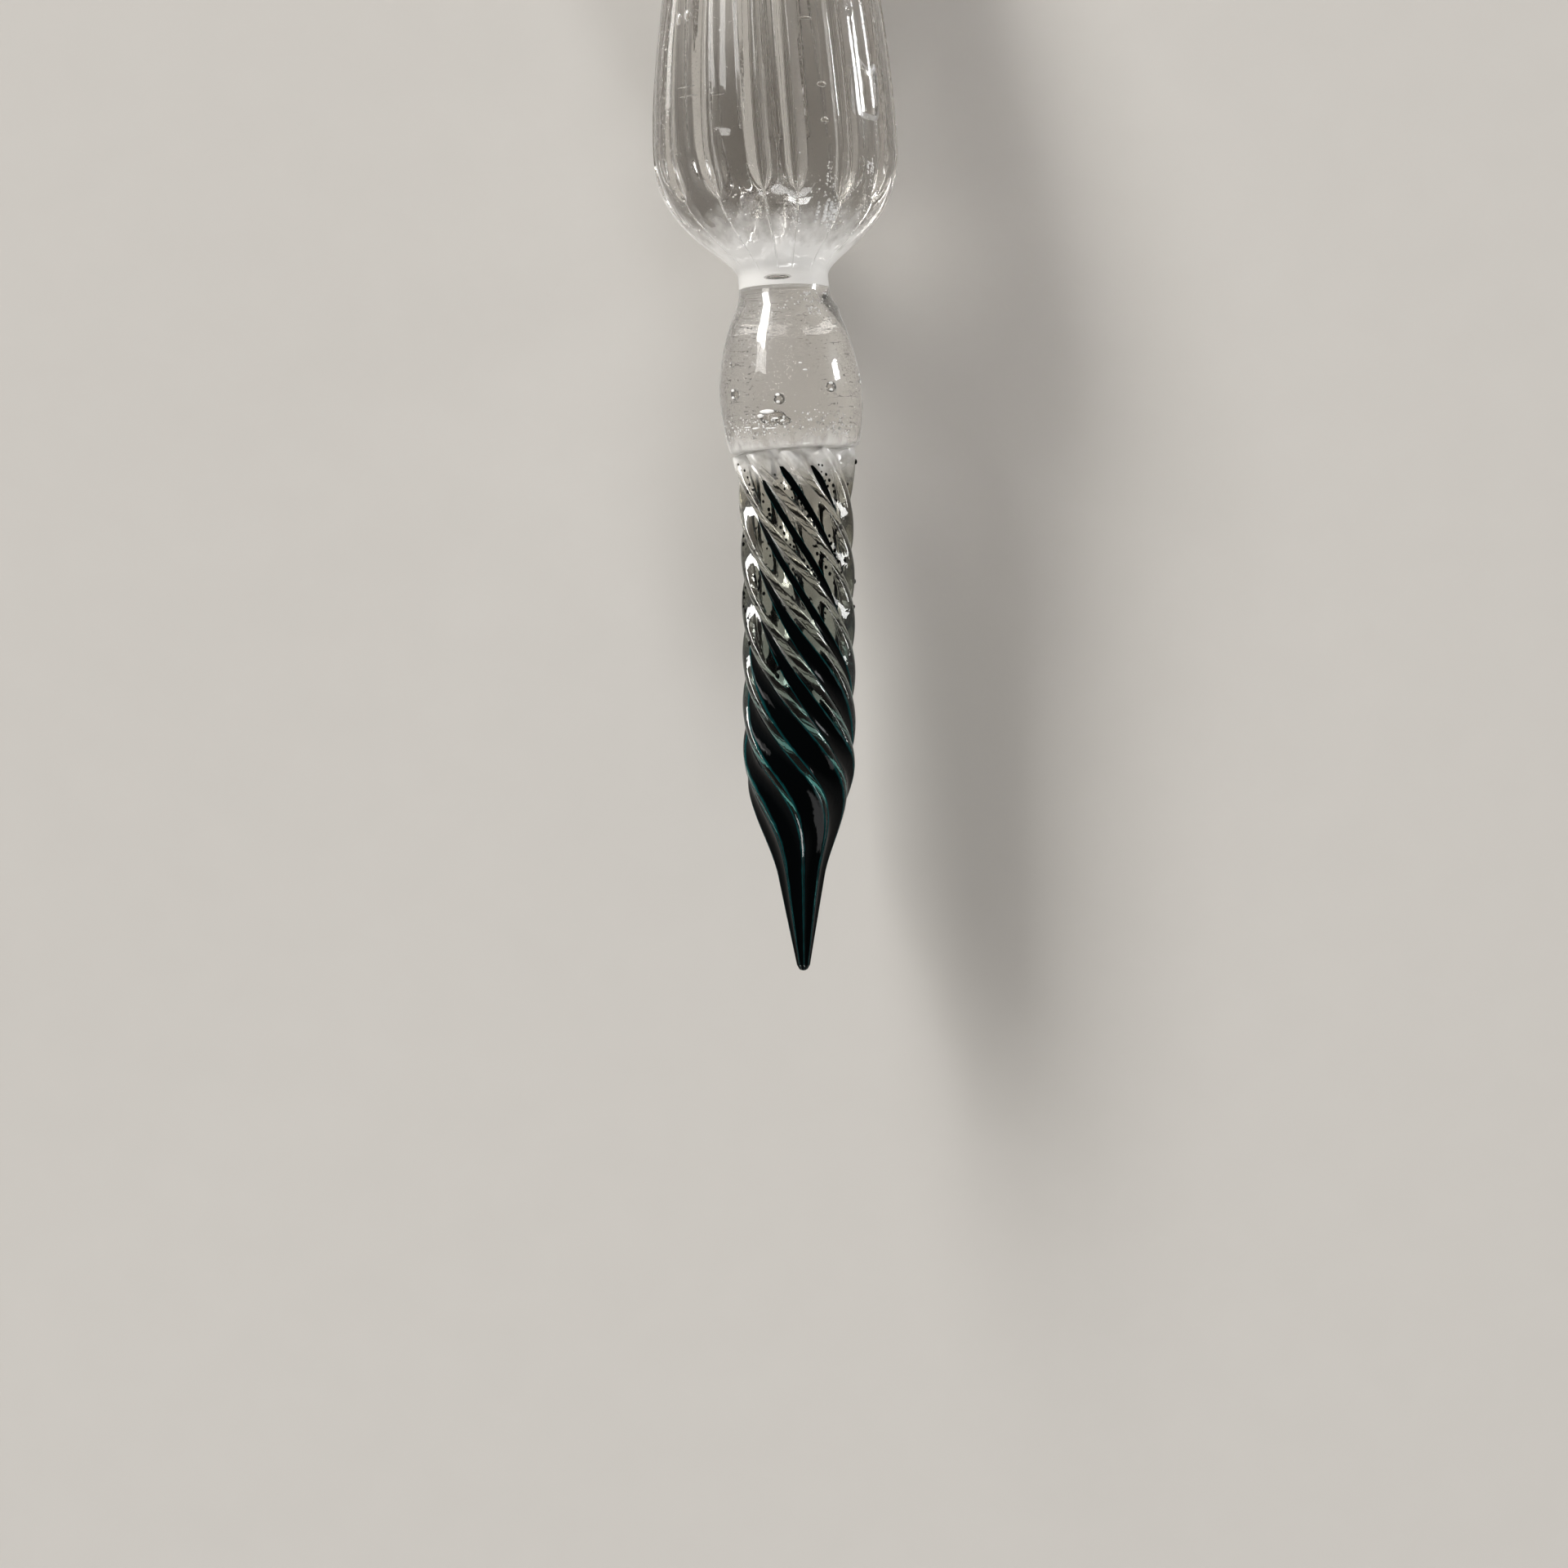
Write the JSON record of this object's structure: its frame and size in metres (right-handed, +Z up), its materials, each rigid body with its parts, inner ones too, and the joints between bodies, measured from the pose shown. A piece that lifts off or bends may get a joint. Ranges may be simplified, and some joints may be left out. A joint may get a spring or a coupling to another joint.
{
  "type": "dip pen",
  "caption": "Clear glass dip pen with a twisted, grooved nib, a bubbled knop, a fluted bell-shaped grip and a plain round stem that ends in a ball",
  "frame": {"origin": "on the table, under the middle of the box of the pen as it lies at rest on its grip and its tail ball", "axes": "+Y runs along the pen from the nib to the tail, +Z is up, and the tail is about 2.6 degrees lower than the nib"},
  "size_m": [0.016, 0.1656, 0.016],
  "materials": {
    "clear_glass": "polished, with small bubbles",
    "inked_glass": "polished, blue-black ink in the grooves"
  },
  "bodies": {
    "root": {"nib": "inked_glass", "knop": "clear_glass", "grip": "clear_glass", "stem": "clear_glass", "tail_bead": "clear_glass"}
  },
  "joints": []
}
